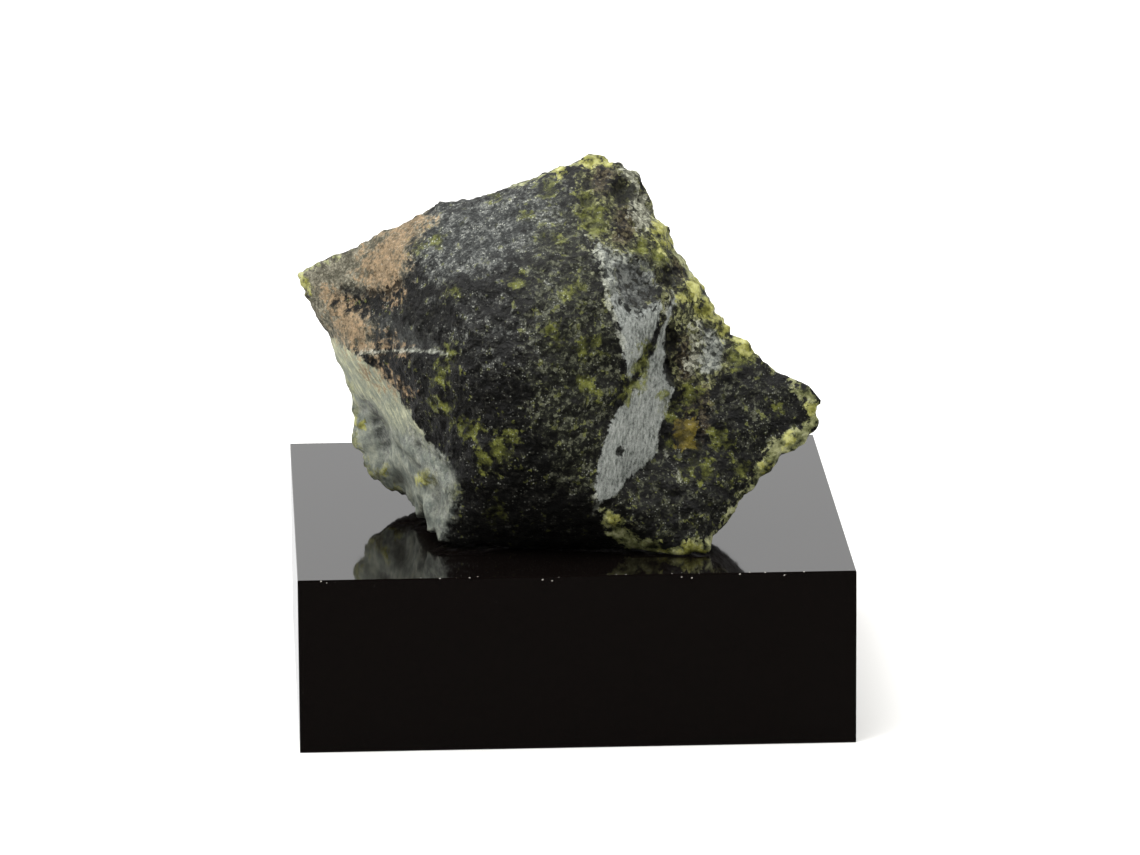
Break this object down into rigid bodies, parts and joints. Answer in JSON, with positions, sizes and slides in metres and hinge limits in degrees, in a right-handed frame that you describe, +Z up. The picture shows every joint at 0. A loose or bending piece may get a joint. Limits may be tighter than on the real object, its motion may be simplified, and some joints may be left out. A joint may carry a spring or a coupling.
{
  "type": "chrome diopside specimen on a display block",
  "caption": "Broken chunk of dark green chrome diopside rock, resting on a square block of polished black acrylic.",
  "frame": {"origin": "middle of the block's underside", "axes": "+Z up; +X to the right and +Y away from the viewer, square to the block's sides, with the rock's widest side facing -Y"},
  "size_m": [0.03, 0.03, 0.0299],
  "materials": {
    "diopside": "rough granular break, near black to grey-green, with yellow-green rind, two pale grey cleavage facets and brown iron stain",
    "black_acrylic": "polished gloss"
  },
  "bodies": {
    "root": {"diopside": "diopside", "display_block": "black_acrylic"}
  },
  "joints": []
}
